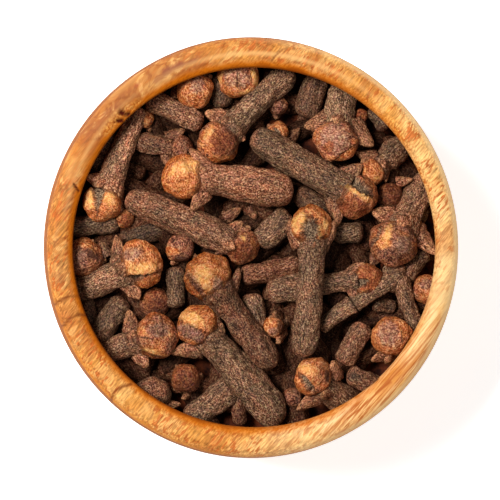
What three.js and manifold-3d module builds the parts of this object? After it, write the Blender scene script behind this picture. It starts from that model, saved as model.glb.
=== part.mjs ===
// A pinch bowl turned from one piece of pale wood, heaped level with whole cloves.
// Millimetres, +Z up, origin at the middle of the foot that the bowl stands on.
import * as THREE from 'three';
import { mergeVertices } from 'three/addons/utils/BufferGeometryUtils.js';
import Module from 'manifold-3d';

const wasm = await Module();
wasm.setup();

// Driving dimensions of the bowl
const HEIGHT = 27;              // foot to the crown of the lip
const FOOT_RADIUS = 12.6;
const FOOT_ROUNDING = 0.4;
const BELLY_RADIUS = 25;        // widest, at BELLY_HEIGHT
const BELLY_HEIGHT = 18.5;
const OPENING_RADIUS = 21.66;   // inside edge of the lip, which curls inwards
const CROWN_RADIUS = 23.25;     // top of the lip
const LIP_ROUNDING = 1.55;
const SHOULDER_RADIUS = 24.72;  // where the outer wall turns into the lip
const HOLLOW_RADIUS = 22.85;    // widest inside, under the lip
const HOLLOW_HEIGHT = 20.5;
const FLOOR_THICKNESS = 2.8;
const OVAL_OUTSIDE = 0.009;     // the wood has dried a little oval
const OVAL_INSIDE = -0.003;
const TURNS = 48;               // facets round the bowl

// Driving dimensions of the heap
const GAP = 0.35;               // between the heap and the wood
const CORE_HEIGHT = 22.3;       // middle of the bare core
const CORE_DROP = 1.1;          // how much lower it is at the wall
const HEAP_TOP = 32;            // above the highest clove
const CLOVE_SIDES = 7;
const STEM_SIDES = 6;
const DEEP_STEMS = 28;          // lie on the core under the cloves that are set out below
const DEEP_LENGTH = 7.5;
const DEEP_WIDTH = 2.5;
const DEEP_REACH = 20.5;        // how far from the middle they lie
const DEEP_SEED = 11;
const GOLDEN_ANGLE = Math.PI * (3 - Math.sqrt(5));

// Cloves that lie whole, from the bottom of the heap to its top.
// Middle of the bud x, y, z, end of the stem x, y, z, radius of the bud, width of the stem.
const WHOLE_CLOVES = [
  [-8.9, 12.4, 22.3, -14.8, 12.8, 21.6, 1.8, 2.4],
  [14.4, 9.0, 22.6, 18.5, 12.8, 21.0, 1.6, 3.1],
  [13.8, -3.7, 22.7, 1.8, -5.4, 22.2, 1.8, 2.9],
  [-1.3, 0.5, 23.6, -14.8, 6.0, 23.2, 2.3, 3.4],
  [-17.9, 5.5, 23.4, -13.3, 16.7, 22.0, 2.2, 2.6],
  [-13.2, -2.0, 23.8, -21.0, -5.3, 21.0, 2.5, 2.6],
  [-11.5, -10.7, 23.7, -18.4, -12.7, 21.0, 2.6, 2.9],
  [-3.7, 12.6, 23.7, 5.0, 21.1, 21.9, 2.4, 2.9],
  [10.2, 12.5, 23.7, 11.3, 20.0, 20.5, 2.5, 3.2],
  [16.9, 0.6, 23.8, 21.2, 8.5, 20.5, 2.9, 3.1],
  [7.4, -15.5, 23.6, 12.4, -19.0, 20.6, 2.4, 3.4],
  [16.7, -10.9, 23.2, 18.1, -13.3, 19.0, 2.4, 3.1],
  [-6.6, -9.5, 23.9, 3.2, -20.5, 22.2, 2.4, 4.3],
  [-5.3, -3.5, 24.3, 2.3, -13.6, 23.8, 2.8, 3.8],
  [12.4, 6.1, 24.2, 0.5, 13.1, 24.0, 2.5, 3.6],
  [-8.0, 8.4, 24.1, 4.8, 6.5, 24.3, 2.6, 4.2],
  [7.1, 2.5, 25.4, 5.8, -13.1, 24.8, 2.4, 3.0],
];

// Cloves that stand on their stems among the others, so that only the bud shows. Same columns.
const UPRIGHT_CLOVES = [
  [-11.5, -6.6, 21.4, -11.5, -8.5, 19.0, 1.8, 2.2],
  [3.1, 17.2, 21.6, 3.1, 16.2, 19.0, 1.1, 1.7],
  [16.4, 6.2, 22.0, 16.9, 4.8, 19.5, 1.4, 1.9],
  [4.9, -17.9, 21.2, 5.9, -18.8, 19.0, 1.1, 1.4],
  [-7.7, -15.6, 21.9, -6.6, -17.5, 19.5, 1.9, 2.4],
  [-11.6, -16.6, 21.8, -12.4, -18.1, 18.5, 2.2, 3.1],
  [21.0, -4.9, 21.6, 21.0, -5.9, 19.0, 1.7, 2.4],
  [-20.0, -1.0, 22.0, -20.5, -1.8, 18.5, 2.4, 2.9],
  [2.8, 14.0, 22.4, 2.8, 13.1, 20.0, 1.4, 1.7],
  [-8.3, 0.0, 22.7, -7.3, 0.8, 20.5, 1.8, 1.9],
  [-6.8, 18.7, 22.9, -7.8, 20.0, 19.5, 2.0, 2.4],
  [-1.4, 20.4, 22.1, -1.0, 20.8, 18.5, 2.5, 2.9],
  [2.6, -9.4, 22.4, 4.0, -9.8, 20.5, 1.3, 1.9],
];

// Stems that have lost their buds, and the two arms of a forked stalk.
// One end x, y, z, the other end x, y, z, width.
const BARE_STEMS = [
  [-16.7, 13.7, 21.4, -18.7, 9.2, 21.2, 1.7],
  [-15.7, 0.8, 21.2, -10.3, 2.3, 21.0, 2.6],
  [8.0, 20.5, 21.2, 6.5, 15.5, 22.0, 3.0],
  [14.5, 16.7, 21.2, 16.1, 14.4, 21.8, 1.9],
  [14.3, -6.7, 21.6, 17.6, -8.5, 21.2, 1.7],
  [-19.6, -6.1, 21.2, -19.0, -9.6, 21.2, 1.7],
  [-1.3, -17.9, 21.4, -1.3, -21.2, 20.8, 1.7],
  [-4.4, 19.3, 21.4, -2.5, 17.2, 21.8, 1.7],
  [-15.2, -6.4, 22.4, -18.4, -10.8, 21.9, 2.6],
  [-6.4, -20.3, 20.9, -2.3, -16.2, 21.6, 3.4],
  [-21.0, 1.8, 22.2, -15.7, 2.8, 22.2, 1.9],
  [20.9, -1.0, 22.0, 18.5, -3.7, 22.0, 1.8],
  [11.5, -15.0, 22.2, 16.0, -16.9, 21.4, 2.2],
  [13.6, -9.5, 22.4, 10.7, -14.0, 22.4, 2.6],
  [-0.1, -5.5, 22.3, 0.6, -10.0, 22.4, 2.4],
  [-1.1, -3.2, 22.6, 5.9, -1.8, 22.0, 2.2],
  [-8.9, -2.3, 22.6, -8.9, -6.7, 22.2, 2.3],
  [4.1, 3.7, 23.0, 0.7, 0.5, 22.8, 2.6],
  [11.6, 3.2, 22.6, 11.6, 0.8, 22.4, 3.1],
  [5.3, 7.0, 22.3, 9.6, 4.4, 22.2, 2.6],
  [16.8, 4.9, 21.9, 21.0, 3.8, 21.4, 2.1],
  [-12.4, 17.6, 22.2, -6.1, 15.0, 23.4, 2.4],
  [17.9, -3.5, 23.3, 8.0, -9.6, 23.0, 2.0],
  [17.9, -3.5, 23.3, 19.9, -10.4, 22.4, 1.9],
];

// Points of an elliptical arc in the radius and height plane; angles in degrees.
function arc(radius, height, reachOut, reachUp, from, to, steps) {
  const points = [];
  for (let i = 0; i <= steps; i++) {
    const angle = THREE.MathUtils.degToRad(from + (to - from) * i / steps);
    points.push(new THREE.Vector2(
      radius + reachOut * Math.cos(angle), height + reachUp * Math.sin(angle)));
  }
  return points;
}

// Half section of the outside, from the middle of the foot up to the crown of the lip.
function outsideProfile() {
  const edge = FOOT_RADIUS + FOOT_ROUNDING;
  const crown = HEIGHT - LIP_ROUNDING;
  const belly = arc(edge, BELLY_HEIGHT, BELLY_RADIUS - edge, BELLY_HEIGHT - FOOT_ROUNDING, -84, 0, 8);
  const lip = arc(CROWN_RADIUS, crown, SHOULDER_RADIUS - CROWN_RADIUS, LIP_ROUNDING, 8, 90, 5);
  return [new THREE.Vector2(0, 0), new THREE.Vector2(FOOT_RADIUS, 0), ...belly,
    new THREE.Vector2((BELLY_RADIUS + SHOULDER_RADIUS) / 2 + 0.08, (BELLY_HEIGHT + crown) / 2), ...lip];
}

// Half section of the hollow, from the inside edge of the lip down to the middle of the floor.
// The clearance draws it in from the wood.
function hollowProfile(clearance) {
  const edge = HEIGHT - LIP_ROUNDING - 0.2;
  const wall = arc(0, HOLLOW_HEIGHT, HOLLOW_RADIUS - clearance,
    HOLLOW_HEIGHT - FLOOR_THICKNESS - clearance, 0, -90, 8);
  wall[wall.length - 1].x = 0;
  return [new THREE.Vector2(OPENING_RADIUS - clearance, edge),
    new THREE.Vector2(OPENING_RADIUS + 0.2 - clearance, edge - 0.9),
    new THREE.Vector2(HOLLOW_RADIUS - 0.3 - clearance, edge - 2.6), ...wall];
}

// Turns a half section round Z. Ovality is given for each point of the section.
function turned(profile, ovality) {
  const geometry = new THREE.LatheGeometry(profile, TURNS);
  geometry.rotateX(Math.PI / 2);
  const position = geometry.attributes.position;
  for (let i = 0; i < position.count; i++) {
    const oval = ovality[i % profile.length];
    position.setXYZ(i, position.getX(i) * (1 - oval), position.getY(i) * (1 + oval), position.getZ(i));
  }
  return geometry;
}

// A closed body for joining and cutting; a mesh that came out inside out is turned round.
function solid(geometry) {
  geometry.deleteAttribute('normal');
  geometry.deleteAttribute('uv');
  const merged = mergeVertices(geometry, 1e-4);
  const corners = merged.attributes.position.array;
  const faces = [];
  for (let i = 0; i < merged.index.count; i += 3) {
    const [a, b, c] = [0, 1, 2].map((k) => merged.index.getX(i + k));
    if (a !== b && b !== c && c !== a) faces.push(a, b, c);
  }
  let volume = 0;
  const [p, q, r] = [new THREE.Vector3(), new THREE.Vector3(), new THREE.Vector3()];
  for (let i = 0; i < faces.length; i += 3) {
    p.fromArray(corners, faces[i] * 3);
    q.fromArray(corners, faces[i + 1] * 3);
    r.fromArray(corners, faces[i + 2] * 3);
    volume += p.dot(q.cross(r));
  }
  if (volume < 0) faces.reverse();
  return new wasm.Manifold(new wasm.Mesh({
    numProp: 3, vertProperties: Float32Array.from(corners), triVerts: Uint32Array.from(faces),
  }));
}

// Back from a joined body to a three.js geometry.
function geometryOf(body) {
  const mesh = body.getMesh();
  const geometry = new THREE.BufferGeometry();
  geometry.setAttribute('position', new THREE.Float32BufferAttribute(mesh.vertProperties, 3));
  geometry.setIndex(new THREE.Uint32BufferAttribute(mesh.triVerts, 1));
  geometry.computeVertexNormals();
  return geometry;
}

// Moves a shape made along +Y from the origin so that it runs from one point to another.
function laid(geometry, from, to) {
  const along = to.clone().sub(from).normalize();
  geometry.applyQuaternion(new THREE.Quaternion().setFromUnitVectors(new THREE.Vector3(0, 1, 0), along));
  geometry.translate(from.x, from.y, from.z);
  return geometry;
}

// A bare stem: blunt ends, a little thicker in the middle.
function bareStem([x1, y1, z1, x2, y2, z2, width]) {
  const from = new THREE.Vector3(x1, y1, z1);
  const to = new THREE.Vector3(x2, y2, z2);
  const length = from.distanceTo(to);
  const half = width / 2;
  const section = [[0, 0], [0.8 * half, 0.06 * length], [half, 0.5 * length], [0.75 * half, length], [0, length]];
  const profile = section.map(([radius, along]) => new THREE.Vector2(radius, along));
  return solid(laid(new THREE.LatheGeometry(profile, STEM_SIDES), from, to));
}

// Random numbers from 0 to 1 that are the same each time.
function dice(seed) {
  let state = seed;
  return () => {
    state = (state * 16807) % 2147483647;
    return state / 2147483647;
  };
}

// Height of the bare core at a distance from the middle.
function coreTop(radius) {
  return CORE_HEIGHT - CORE_DROP * (radius / HOLLOW_RADIUS) ** 2;
}

// The cloves underneath, which show only in the gaps: stems strewn evenly over the core.
function deepStems() {
  const roll = dice(DEEP_SEED);
  return Array.from({ length: DEEP_STEMS }, (_, i) => {
    const radius = DEEP_REACH * Math.sqrt((i + 0.5) / DEEP_STEMS);
    const turn = roll() * Math.PI;
    const [x, y] = [radius * Math.cos(i * GOLDEN_ANGLE), radius * Math.sin(i * GOLDEN_ANGLE)];
    const [dx, dy] = [Math.cos(turn) * DEEP_LENGTH / 2, Math.sin(turn) * DEEP_LENGTH / 2];
    const height = coreTop(radius) - 0.15 + 0.3 * roll();
    return bareStem([x - dx, y - dy, height, x + dx, y + dy, height, DEEP_WIDTH * (0.85 + 0.3 * roll())]);
  });
}

// A clove: rounded stem end, stem that thickens, four calyx lobes spreading round a round bud.
function clove([x1, y1, z1, x2, y2, z2, bud, width]) {
  const head = new THREE.Vector3(x1, y1, z1);
  const end = new THREE.Vector3(x2, y2, z2);
  const length = head.distanceTo(end);
  const half = width / 2;
  const section = [[0, 0], [0.72 * half, 0.1 * half], [half, Math.min(half, 0.3 * length)],
    [0.95 * half, Math.max(0.5 * length, length - 2.2 * bud)],
    [Math.max(0.8 * half, 0.62 * bud), length - 0.95 * bud], [0.9 * bud, length - 0.45 * bud],
    [bud, length + 0.1 * bud], [0.74 * bud, length + 0.68 * bud], [0, length + bud]];
  const profile = section.map(([radius, along]) => new THREE.Vector2(radius, along));
  let body = solid(laid(new THREE.LatheGeometry(profile, CLOVE_SIDES), end, head));
  const along = head.clone().sub(end).normalize();
  const across = new THREE.Vector3(0, 0, 1).addScaledVector(along, -along.z);
  if (across.lengthSq() < 1e-3) across.set(1, 0, 0);
  across.normalize();
  for (let lobe = 0; lobe < 4; lobe++) {
    const out = across.clone().applyAxisAngle(along, (lobe + 0.5) * Math.PI / 2);
    const root = head.clone().addScaledVector(along, -1.05 * bud).addScaledVector(out, 0.35 * bud);
    const tip = head.clone().addScaledVector(along, -0.25 * bud).addScaledVector(out, 1.32 * bud);
    const cone = new THREE.ConeGeometry(0.42 * bud, root.distanceTo(tip), 4);
    cone.translate(0, root.distanceTo(tip) / 2, 0);
    body = body.add(solid(laid(cone, root, tip)));
  }
  return body;
}

// The bowl: one turned piece of pale, close-grained wood.
function bowlGeometry() {
  const outside = outsideProfile();
  const crown = HEIGHT - LIP_ROUNDING;
  const curl = arc(CROWN_RADIUS, crown, CROWN_RADIUS - OPENING_RADIUS, LIP_ROUNDING, 112, 172, 3);
  const hollow = hollowProfile(0);
  const profile = [...outside, ...curl, ...hollow];
  const ovality = [...outside.map(() => OVAL_OUTSIDE),
    ...curl.map((_, i) => THREE.MathUtils.lerp(OVAL_OUTSIDE, OVAL_INSIDE, (i + 1) / curl.length)),
    ...hollow.map(() => OVAL_INSIDE)];
  return geometryOf(solid(turned(profile, ovality)));
}

// The heap: a domed core with the cloves that show joined to it, cut to fit inside the wood.
function heapGeometry() {
  const hollow = hollowProfile(GAP);
  const space = [new THREE.Vector2(0, HEAP_TOP), new THREE.Vector2(hollow[0].x, HEAP_TOP), ...hollow];
  const room = solid(turned(space, space.map(() => OVAL_INSIDE)));
  const dome = [new THREE.Vector2(0, FLOOR_THICKNESS)];
  for (let i = 0; i <= 5; i++) {
    const radius = HOLLOW_RADIUS + 1 - i / 5 * (HOLLOW_RADIUS + 1);
    dome.push(new THREE.Vector2(radius, coreTop(radius)));
  }
  dome.splice(1, 0, new THREE.Vector2(HOLLOW_RADIUS + 1, FLOOR_THICKNESS));
  dome[dome.length - 1].x = 0;
  const core = new THREE.LatheGeometry(dome, 32).rotateX(Math.PI / 2);
  const pieces = [...deepStems(), ...BARE_STEMS.map(bareStem),
    ...UPRIGHT_CLOVES.map(clove), ...WHOLE_CLOVES.map(clove)];
  const joined = pieces.reduce((heap, piece) => heap.add(piece), solid(core)).intersect(room);
  // Only the largest outside skin is kept: no loose scraps, and no hollow sealed inside.
  const skins = joined.simplify(0.02).decompose().sort((a, b) => b.volume() - a.volume());
  return geometryOf(skins[0]);
}

const wood = new THREE.MeshStandardMaterial({ color: '#dca15f', roughness: 0.55, metalness: 0 });
const spice = new THREE.MeshStandardMaterial({ color: '#76513a', roughness: 0.8, metalness: 0 });

const bowl = new THREE.Mesh(bowlGeometry(), wood);
bowl.name = 'bowl';

const cloves = new THREE.Mesh(heapGeometry(), spice);
cloves.name = 'cloves';

const bowlOfCloves = new THREE.Group();
bowlOfCloves.name = 'bowl_of_cloves';
bowlOfCloves.add(bowl, cloves);

export default bowlOfCloves;
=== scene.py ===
import math

import bpy
import numpy as np
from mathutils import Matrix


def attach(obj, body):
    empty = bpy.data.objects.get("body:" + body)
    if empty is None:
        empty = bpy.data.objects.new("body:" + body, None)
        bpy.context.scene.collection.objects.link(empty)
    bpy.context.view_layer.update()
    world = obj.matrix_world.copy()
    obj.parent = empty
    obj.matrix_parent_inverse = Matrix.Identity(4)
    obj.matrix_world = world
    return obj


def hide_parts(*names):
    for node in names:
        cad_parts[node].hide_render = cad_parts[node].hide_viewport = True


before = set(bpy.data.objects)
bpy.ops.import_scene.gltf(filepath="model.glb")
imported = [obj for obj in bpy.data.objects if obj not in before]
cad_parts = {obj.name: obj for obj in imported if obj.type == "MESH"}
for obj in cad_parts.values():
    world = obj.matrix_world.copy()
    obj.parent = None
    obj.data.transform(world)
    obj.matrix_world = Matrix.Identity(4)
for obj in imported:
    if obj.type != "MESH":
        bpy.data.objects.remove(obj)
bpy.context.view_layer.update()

# ---------------------------------------------------------------------------------------------
# The bowl. One piece of pale close-grained wood, turned on a lathe and oiled. Its lip curls
# inwards and is rounded on both sides, and the wood has dried slightly oval.
# Sections are worked out in millimetres and turned into metres when a mesh is made.

MM = 0.001
STUDIO_LIGHT = 1.3                  # how much brighter than its colour a level surface comes out
HEIGHT = 27.0
FOOT_RADIUS, FOOT_ROUNDING = 12.6, 0.4
BELLY_RADIUS, BELLY_HEIGHT = 25.0, 18.5
SHOULDER_RADIUS, SHOULDER_FULLNESS = 24.72, 0.08
CROWN_RADIUS, LIP_ROUNDING = 23.25, 1.55
OPENING_RADIUS, EDGE_ROUNDING = 21.44, 0.3
CURL_END = 148                      # how far the curl goes round the lip, in degrees from its outside
HOLLOW_RADIUS, HOLLOW_HEIGHT = 22.85, 20.5
FLOOR_THICKNESS = 2.8
OVAL_OUTSIDE, OVAL_INSIDE = 0.009, -0.0047
HOLLOW_SHIFT = (0.17, 0.03)         # how far the hollow is turned off the middle of the outside
BODY_STEP, LIP_STEP, CURL_STEP = 0.9, 0.13, 0.09
BOWL_SIDES = 640
GRAIN_ANGLE = math.radians(50)      # the way the fibres run, seen from above


def arc(radius, height, reach_out, reach_up, start, end, steps):
    """Points of an elliptical arc in the radius and height plane; angles in degrees."""
    angle = np.radians(np.linspace(start, end, steps + 1))
    return np.stack([radius + reach_out * np.cos(angle), height + reach_up * np.sin(angle)], 1)


def spread(points, step):
    """The same line through the points, with a point about every step."""
    lengths = np.r_[0, np.cumsum(np.linalg.norm(np.diff(points, axis=0), axis=1))]
    places = np.linspace(0, lengths[-1], int(lengths[-1] / step) + 2)
    return np.stack([np.interp(places, lengths, points[:, k]) for k in (0, 1)], 1)


def turned(section, sides):
    """The radius, angle and height of each point of a section turned round the upright axis."""
    angle = np.tile(np.linspace(0, 2 * math.pi, sides, endpoint=False), len(section))
    return np.repeat(section[:, 0], sides), angle, np.repeat(section[:, 1], sides)


def closed_faces(rings, sides):
    """Faces between rings of points that follow one another, and a fan over each end to the point
    at its middle. The two middle points come last."""
    i, j = np.meshgrid(np.arange(rings - 1), np.arange(sides), indexing="ij")
    a, b = i * sides + j, i * sides + (j + 1) % sides
    around = np.stack([a, b, b + sides, a + sides], -1).reshape(-1, 4)
    last = a[-1] + sides
    first_fan = np.stack([b[0], a[0], np.full(sides, rings * sides)], -1)
    last_fan = np.stack([last, b[-1] + sides, np.full(sides, rings * sides + 1)], -1)
    return around.tolist() + first_fan.tolist() + last_fan.tolist()


def smoothstep(low, high, value):
    t = np.clip((value - low) / (high - low), 0, 1)
    return t * t * (3 - 2 * t)


def ripple(points, size, seed, octaves=2):
    """A smooth random value of about -1 to 1 at each point; size is that of its features."""
    draw = np.random.default_rng(seed)
    waves = 14
    total, weight = np.zeros(len(points)), 1.0
    for _ in range(octaves):
        way = draw.normal(size=(waves, 3))
        way *= (2 * math.pi / size * draw.uniform(0.6, 1.4, (waves, 1))
                / np.linalg.norm(way, axis=1, keepdims=True))
        wave = np.cos(points @ way.T + draw.uniform(0, 6.3, waves)).sum(1)
        total += weight * wave * math.sqrt(2 / waves) / 1.6
        size, weight = size / 2, weight * 0.55
    return total


def make_piece(name, points, faces, material, layers):
    """A smooth mesh from points in millimetres, with values held at its points."""
    mesh = bpy.data.meshes.new(name)
    mesh.from_pydata(points * MM, [], faces)
    for layer, values in layers.items():
        one = values.ndim == 1
        held = mesh.attributes.new(layer, "FLOAT" if one else "FLOAT_VECTOR", "POINT")
        held.data.foreach_set("value" if one else "vector", values.astype(np.float32).ravel())
    mesh.materials.append(material)
    mesh.polygons.foreach_set("use_smooth", [True] * len(mesh.polygons))
    mesh.update()
    piece = bpy.data.objects.new(name, mesh)
    bpy.context.scene.collection.objects.link(piece)
    return piece


class Value:
    """A socket in a material's node tree. Sums on it add Math nodes."""

    def __init__(self, tree, socket=None):
        self.tree, self.socket = tree, socket

    def node(self, kind, settings=None, sockets=None, output=0):
        made = self.tree.nodes.new(kind)
        for name, value in (settings or {}).items():
            if name == "stops":
                for place, colour in value[2:]:
                    made.color_ramp.elements.new(place)
                for element, (place, colour) in zip(made.color_ramp.elements, sorted(value)):
                    element.position, element.color = place, colour
            else:
                setattr(made, name, value)
        for name, value in (sockets or {}).items():
            if isinstance(value, Value):
                self.tree.links.new(value.socket, made.inputs[name])
            else:
                made.inputs[name].default_value = value
        return Value(self.tree, made.outputs[output])

    def maths(self, operation, *values):
        return self.node("ShaderNodeMath", {"operation": operation}, dict(enumerate(values)))

    def __add__(self, other):
        return self.maths("ADD", self, other)

    def __sub__(self, other):
        return self.maths("SUBTRACT", self, other)

    def __rsub__(self, other):
        return self.maths("SUBTRACT", other, self)

    def __mul__(self, other):
        return self.maths("MULTIPLY", self, other)

    __radd__, __rmul__ = __add__, __mul__

    def above(self, low, high):
        """0 at low, 1 at high, smooth between. It falls where low is the greater of the two."""
        return self.node("ShaderNodeMapRange", {"interpolation_type": "SMOOTHSTEP"},
                         {"Value": self, "From Min": low, "From Max": high})

    def colour(self, *stops):
        """The colour that a value stands for, through (place, hex colour) stops."""
        return self.node("ShaderNodeValToRGB", {"stops": [(place, paint(code)) for place, code in stops]},
                         {"Fac": self})

    def mixed(self, other, amount, blend="MIX"):
        """This colour with another laid over it."""
        other = other if isinstance(other, Value) else paint(other)
        return self.node("ShaderNodeMix", {"data_type": "RGBA", "blend_type": blend, "clamp_factor": True},
                         {0: amount, 6: self, 7: other}, 2)

    def washed(self, *washes):
        """This colour with others laid over it one after another, each a colour and its amount."""
        base = self
        for other, amount in washes:
            base = base.mixed(other, amount)
        return base

    def lit(self, red, green, blue):
        """This colour with its three channels multiplied."""
        light = self.node("ShaderNodeCombineColor", {}, {0: red, 1: green, 2: blue})
        return self.mixed(light, 1.0, "MULTIPLY")

    def stretched(self, x, y, z):
        return self.node("ShaderNodeVectorMath", {"operation": "MULTIPLY"}, {0: self, 1: (x, y, z)})

    def noise(self, size, detail=2.0, roughness=0.5, distortion=0.0, output=0):
        """Noise over this vector, in its own units; size is that of its features. Output 1 is in colour."""
        return self.node("ShaderNodeTexNoise", {},
                         {"Vector": self, "Scale": 1 / size, "Detail": detail, "Roughness": roughness,
                          "Distortion": distortion}, output)

    def held(self, layer):
        """A value held at the mesh's points."""
        return self.node("ShaderNodeAttribute", {"attribute_name": layer}, {}, 2)

    def held_vector(self, layer):
        return self.node("ShaderNodeAttribute", {"attribute_name": layer}, {}, 1)

    def relief(self, strength, depth):
        """The normal of a surface that this value raises by depth, in millimetres."""
        return self.node("ShaderNodeBump", {},
                         {"Height": self, "Strength": strength, "Distance": depth * MM})


def paint(code):
    """A hex colour as it looks in this studio, as the shader takes it."""
    channels = [int(code[k:k + 2], 16) / 255 for k in (1, 3, 5)]
    linear = [c / 12.92 if c <= 0.04045 else ((c + 0.055) / 1.055) ** 2.4 for c in channels]
    return (*[c / STUDIO_LIGHT for c in linear], 1.0)


def new_material(name, **settings):
    """A material with its settings on the shader, and a Value to start its nodes from."""
    material = bpy.data.materials.new(name)
    material.use_nodes = True
    shader = material.node_tree.nodes["Principled BSDF"]
    for socket, value in settings.items():
        shader.inputs[socket.replace("_", " ")].default_value = value
    return material, shader, Value(material.node_tree)


def feed(shader, **links):
    for socket, value in links.items():
        value.tree.links.new(value.socket, shader.inputs[socket.replace("_", " ")])


foot_edge = FOOT_RADIUS + FOOT_ROUNDING
crown = HEIGHT - LIP_ROUNDING
belly = np.vstack([
    [(FOOT_RADIUS, 0)],
    arc(foot_edge, BELLY_HEIGHT, BELLY_RADIUS - foot_edge, BELLY_HEIGHT - FOOT_ROUNDING, -84, 0, 40)])
shoulder = np.vstack([
    [((BELLY_RADIUS + SHOULDER_RADIUS) / 2 + SHOULDER_FULLNESS, (BELLY_HEIGHT + crown) / 2)],
    arc(CROWN_RADIUS, crown, SHOULDER_RADIUS - CROWN_RADIUS, LIP_ROUNDING, 8, 90, 24)])
curl_reach = (CROWN_RADIUS - OPENING_RADIUS - 0.1) / math.cos(math.radians(180 - CURL_END))
curl = arc(CROWN_RADIUS, crown, curl_reach, LIP_ROUNDING, 92, CURL_END, 26)
inner_edge = arc(OPENING_RADIUS + EDGE_ROUNDING, curl[-1, 1] - 0.32, EDGE_ROUNDING, EDGE_ROUNDING,
                 138, 210, 8)
curl = np.vstack([curl, inner_edge])
under_lip = np.array([(OPENING_RADIUS + 0.12, crown - 0.95), (OPENING_RADIUS + 0.4, crown - 1.6),
                      (HOLLOW_RADIUS - 0.3, crown - 2.8)])
wall = arc(0, HOLLOW_HEIGHT, HOLLOW_RADIUS, HOLLOW_HEIGHT - FLOOR_THICKNESS, 0, -89, 40)
outside_line = np.vstack([spread(belly, BODY_STEP), spread(shoulder, LIP_STEP)])
curl_line, hollow_line = spread(curl, CURL_STEP), spread(np.vstack([under_lip, wall]), BODY_STEP)
section = np.vstack([outside_line, curl_line, hollow_line])
# How far each ring belongs to the inside, which has an oval and a middle of its own.
inner = np.r_[np.zeros(len(outside_line)), smoothstep(0, 1, np.linspace(0, 1, len(curl_line))),
              np.ones(len(hollow_line))]

radius, turn_at, height = turned(section, BOWL_SIDES)
inner_at = np.repeat(inner, BOWL_SIDES)
oval_at = OVAL_OUTSIDE + (OVAL_INSIDE - OVAL_OUTSIDE) * inner_at
bowl_points = np.column_stack([radius * np.cos(turn_at) * (1 - oval_at) + HOLLOW_SHIFT[0] * inner_at,
                               radius * np.sin(turn_at) * (1 + oval_at) + HOLLOW_SHIFT[1] * inner_at,
                               height])
turn_at = np.degrees(turn_at)
inside = np.repeat(np.arange(len(section)) >= len(outside_line), BOWL_SIDES)


def towards(angle, reach):
    """1 at an angle round the bowl, fading to 0 at reach degrees to either side of it."""
    away = np.abs((turn_at - angle + 180) % 360 - 180)
    return smoothstep(reach, 0, away)


def line(width, *places):
    """1 along a line through places seen from above, fading out over its width."""
    nearest = np.inf
    for start, end in zip(places, places[1:]):
        off, way = bowl_points[:, :2] - start, np.subtract(end, start)
        along = np.clip(off @ way / (way @ way), 0, 1)
        nearest = np.minimum(nearest, np.linalg.norm(off - along[:, None] * way, axis=1))
    return smoothstep(width, 0, nearest)


def lines(*rows):
    """Several lines on the lip, each with its strength, its width and its places."""
    return np.clip(sum(strength * line(width, *places) for strength, width, *places in rows), 0, 1)


# The wood is darkest at the back left, round the knot, and palest at the right. The angles go
# round the bowl from the right, anticlockwise, and each has its tone from 0, dark, to 1, pale.
tone = np.interp(turn_at, [0, 30, 60, 90, 135, 165, 195, 225, 260, 285, 315, 345, 360],
                 [0.95, 0.68, 0.52, 0.4, 0.1, 0.35, 0.3, 0.5, 0.57, 0.92, 0.7, 1.0, 0.95])
on_lip = smoothstep(crown - 1.2, crown - 0.4, height)
tone = np.clip(tone + 0.12 * on_lip * ripple(bowl_points, 7.0, 5), 0, 1)
# Where the grain meets the lip end on it shows as short flecks, and where it runs along the lip,
# at the front right, as long streaks. At the back left it is cloudy.
flecked = np.clip(1.1 * towards(30, 70) + towards(215, 75) + towards(178, 45) + 0.9 * towards(90, 45)
                  + 0.8 * towards(275, 50), 0.25, 1)
streaky = np.clip(1.2 * towards(314, 42), 0, 1) * on_lip
# The inner edge of the lip is darker and a deeper orange, the more so the further in from its crown,
# but not on the right, where the light falls on it: partly scorched wood, partly painted shade where
# the lip turns down into the hollow. Further in, at the front left and at the back, painted shade makes
# it darker still.
inward = np.where(inside, CROWN_RADIUS - radius, 0)
wobble = ripple(bowl_points, 3.0, 3)
burnt_and_shaded = np.interp(turn_at, [0, 20, 55, 75, 195, 220, 250, 285, 315, 340, 360],
                  [0.15, 0.2, 0.6, 1.0, 1.0, 0.8, 0.9, 0.75, 0.55, 0.25, 0.15])
burn = np.maximum(burnt_and_shaded * smoothstep(0.85, 1.5, inward + 0.05 * wobble),
                  0.75 * line(1.0, (-17.2, 13.7), (-13.7, 16.9)) * on_lip)
scorch = (burnt_and_shaded * smoothstep(1.35, 1.7, inward + 0.08 * wobble)
          * np.clip(towards(240, 75) + towards(75, 35), 0, 1))
burn_line = burnt_and_shaded * smoothstep(0.2, 0.0, np.abs(inward + 0.1 * wobble - 1.02)) * (0.6 + 0.5 * wobble)
# Painted highlight along the crest where the lip rolls in, at the back and the back left.
ridge = (smoothstep(0.45, 0, np.abs(inward - 0.4)) * inside
         * np.clip(towards(85, 50) + 0.6 * towards(150, 35), 0, 1))
# The outside of the lip turns a deeper orange towards its edge, most at the front left. Painted light
# brightens its edge on the right, and painted shade darkens its outermost edge and the walls, most of
# all just below the lip.
outward, on_shoulder = radius - CROWN_RADIUS, (height > crown) & ~inside
outer = (on_shoulder * smoothstep(0.95, 1.3, outward)
         * np.clip(towards(232, 75) + 0.5 * towards(320, 50), 0.15, 1))
pale_edge = (on_shoulder * smoothstep(0.6, 1.2, outward)
             * np.clip(1.3 * towards(335, 75) + 0.9 * towards(40, 60), 0, 1))
# Painted shade on the outermost edge of the lip and on the walls, most just below the lip.
shaded = ~inside * np.where(height > crown, smoothstep(1.36, 1.47, outward),
                            0.4 + 0.6 * smoothstep(crown - 6, crown - 1, height))
walls = smoothstep(crown - 0.2, crown - 1.6, height)
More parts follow.
